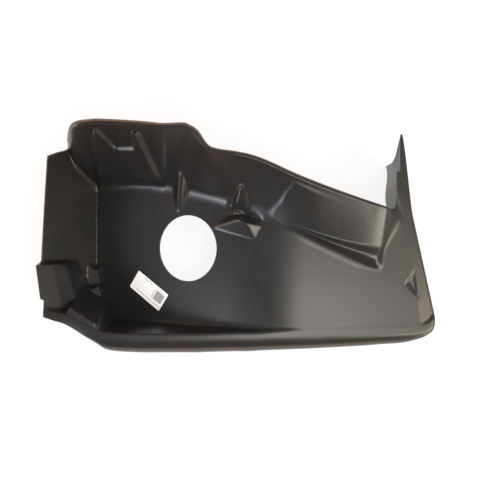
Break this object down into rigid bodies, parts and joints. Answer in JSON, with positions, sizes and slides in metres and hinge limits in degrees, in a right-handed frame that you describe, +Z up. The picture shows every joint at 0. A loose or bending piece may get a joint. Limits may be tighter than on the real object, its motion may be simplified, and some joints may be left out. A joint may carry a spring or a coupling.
{
  "type": "wheel arch liner",
  "caption": "Vacuum-formed wheel arch liner section: sloping floor panel with a large round hole, far wall with ribs, near lip, end wall with a fin, and a paper label.",
  "frame": {"origin": "middle of the liner's plan outline, on the plane that it rests on", "axes": "+X along the length towards the end wall, +Y across towards the far wall, +Z up out of the wheel side"},
  "size_m": [0.7009, 0.4016, 0.2104],
  "materials": {
    "liner_plastic": "satin black, fine grain",
    "label_paper": "matt white"
  },
  "bodies": {
    "root": {"liner": "liner_plastic", "paper_label": "label_paper"}
  },
  "joints": []
}
